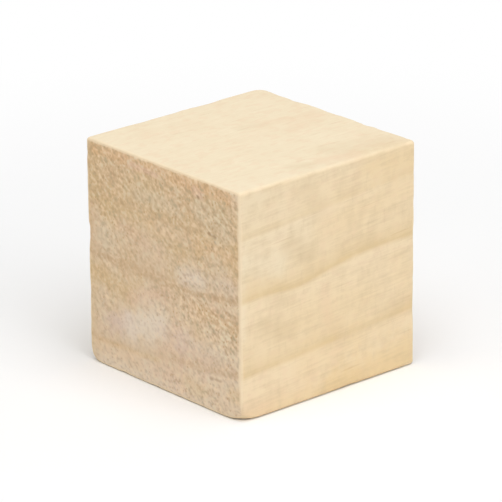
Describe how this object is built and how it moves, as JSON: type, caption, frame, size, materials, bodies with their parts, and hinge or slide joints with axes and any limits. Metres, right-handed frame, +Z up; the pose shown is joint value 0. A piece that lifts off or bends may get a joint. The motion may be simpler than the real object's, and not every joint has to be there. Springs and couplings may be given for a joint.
{
  "type": "wooden cube",
  "caption": "Small solid pine craft cube with eased edges and rubbed corners, smooth planed side grain and rougher sawn end grain.",
  "frame": {"origin": "centre of the base, on the surface that the cube stands on", "axes": "+Z up from the base to the top face; +Y along the fibres, from the front sawn end to the back one; +X across the fibres, to the right of someone who faces the front end"},
  "size_m": [0.0242, 0.0244, 0.025],
  "materials": {
    "pine": "matte"
  },
  "bodies": {
    "root": {"wood_block": "pine"}
  },
  "joints": []
}
